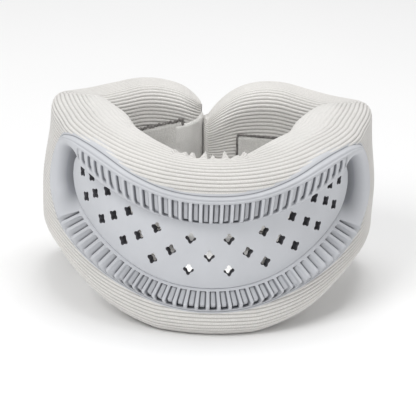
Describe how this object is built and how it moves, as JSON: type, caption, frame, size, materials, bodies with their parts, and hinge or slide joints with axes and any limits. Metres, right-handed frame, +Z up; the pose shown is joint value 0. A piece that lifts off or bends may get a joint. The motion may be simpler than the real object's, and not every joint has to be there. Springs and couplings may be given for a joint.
{
  "type": "cervical support collar",
  "caption": "Padded neck support collar: ribbed foam ring, perforated elastomer front shell with flexible bars, and two rear wings closed by a hook-and-loop strap.",
  "frame": {"origin": "centre of the bounding box in plan, at the level the collar stands on", "axes": "-Y towards the front of the wearer, +X to the right seen from the front, +Z up towards the chin"},
  "size_m": [0.181, 0.1574, 0.0995],
  "materials": {
    "knit": "fine ribbed knit over foam, matte, warm light grey",
    "foam": "open-cell polyurethane foam, off-white",
    "shell": "matte cool light grey elastomer",
    "panel": "matte cool light grey elastomer, slightly paler",
    "lining": "brushed loop fleece, matte grey",
    "stitch": "dark grey stitched binding",
    "strap": "smooth brushed strap, light grey",
    "hook": "moulded hook tape, grey"
  },
  "bodies": {
    "front": {"chest_roll_cover": "knit", "chest_roll_foam": "foam", "chin_roll_cover": "knit", "chin_roll_foam": "foam", "left_side_pad_cover": "knit", "left_side_pad_foam": "foam", "lower_flex_strip": "shell", "right_side_pad_cover": "knit", "right_side_pad_foam": "foam", "rim_piping": "shell", "shell_bezel": "shell", "upper_flex_strip": "shell", "vent_panel": "panel"},
    "left_wing": {"left_wing_cover": "knit", "left_wing_foam": "foam", "left_wing_lining": "lining", "left_lining_binding": "stitch", "strap_anchor": "strap"},
    "right_wing": {"right_wing_cover": "knit", "right_wing_foam": "foam", "right_wing_lining": "lining", "right_lining_binding": "stitch", "loop_patch": "lining"},
    "strap": {"closure_strap": "strap", "strap_end_tab": "stitch", "hook_patch": "hook"}
  },
  "joints": [
    {"name": "left_wing_open", "type": "hinge", "parent": "front", "child": "left_wing", "pos_m": [-0.0905, 0.02285, 0], "axis": [0, 0, 1], "range_deg": [0, 50], "stiffness_Nm_per_rad": 0.05},
    {"name": "right_wing_open", "type": "hinge", "parent": "front", "child": "right_wing", "pos_m": [0.0905, 0.02285, 0], "axis": [0, 0, -1], "range_deg": [0, 50], "stiffness_Nm_per_rad": 0.05},
    {"name": "strap_peel", "type": "hinge", "parent": "left_wing", "child": "strap", "pos_m": [-0.00322, 0.07874, 0], "axis": [0, 0, 1], "range_deg": [0, 85]}
  ],
  "couplings": [
    {"joint": "right_wing_open", "follows": "left_wing_open", "ratio": 1}
  ]
}
